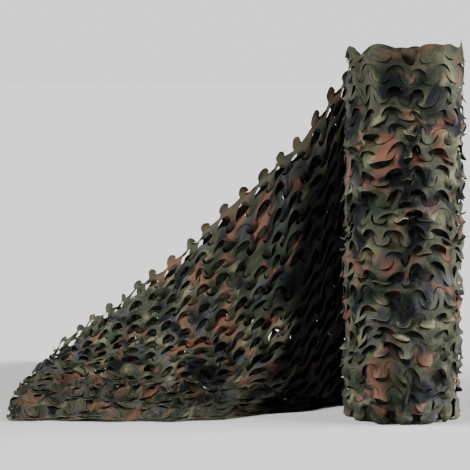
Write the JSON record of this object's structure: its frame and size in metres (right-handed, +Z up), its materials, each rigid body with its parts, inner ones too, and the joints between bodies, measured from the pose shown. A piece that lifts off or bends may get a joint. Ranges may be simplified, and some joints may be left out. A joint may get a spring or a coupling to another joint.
{
  "type": "camouflage net roll",
  "caption": "Bulk roll of die-cut camouflage netting standing on its end, with its loose end let down and lying on the floor to the left.",
  "frame": {"origin": "on the roll's axis, on the floor that it stands on", "axes": "+Z up along the roll's axis, +X to the viewer's right, away from the loose end, +Y away from the viewer"},
  "size_m": [1.893, 1.5182, 1.5],
  "materials": {
    "net": "matte woven polyester with a printed camouflage pattern"
  },
  "bodies": {
    "root": {"roll": "net", "tail": "net"}
  },
  "joints": []
}
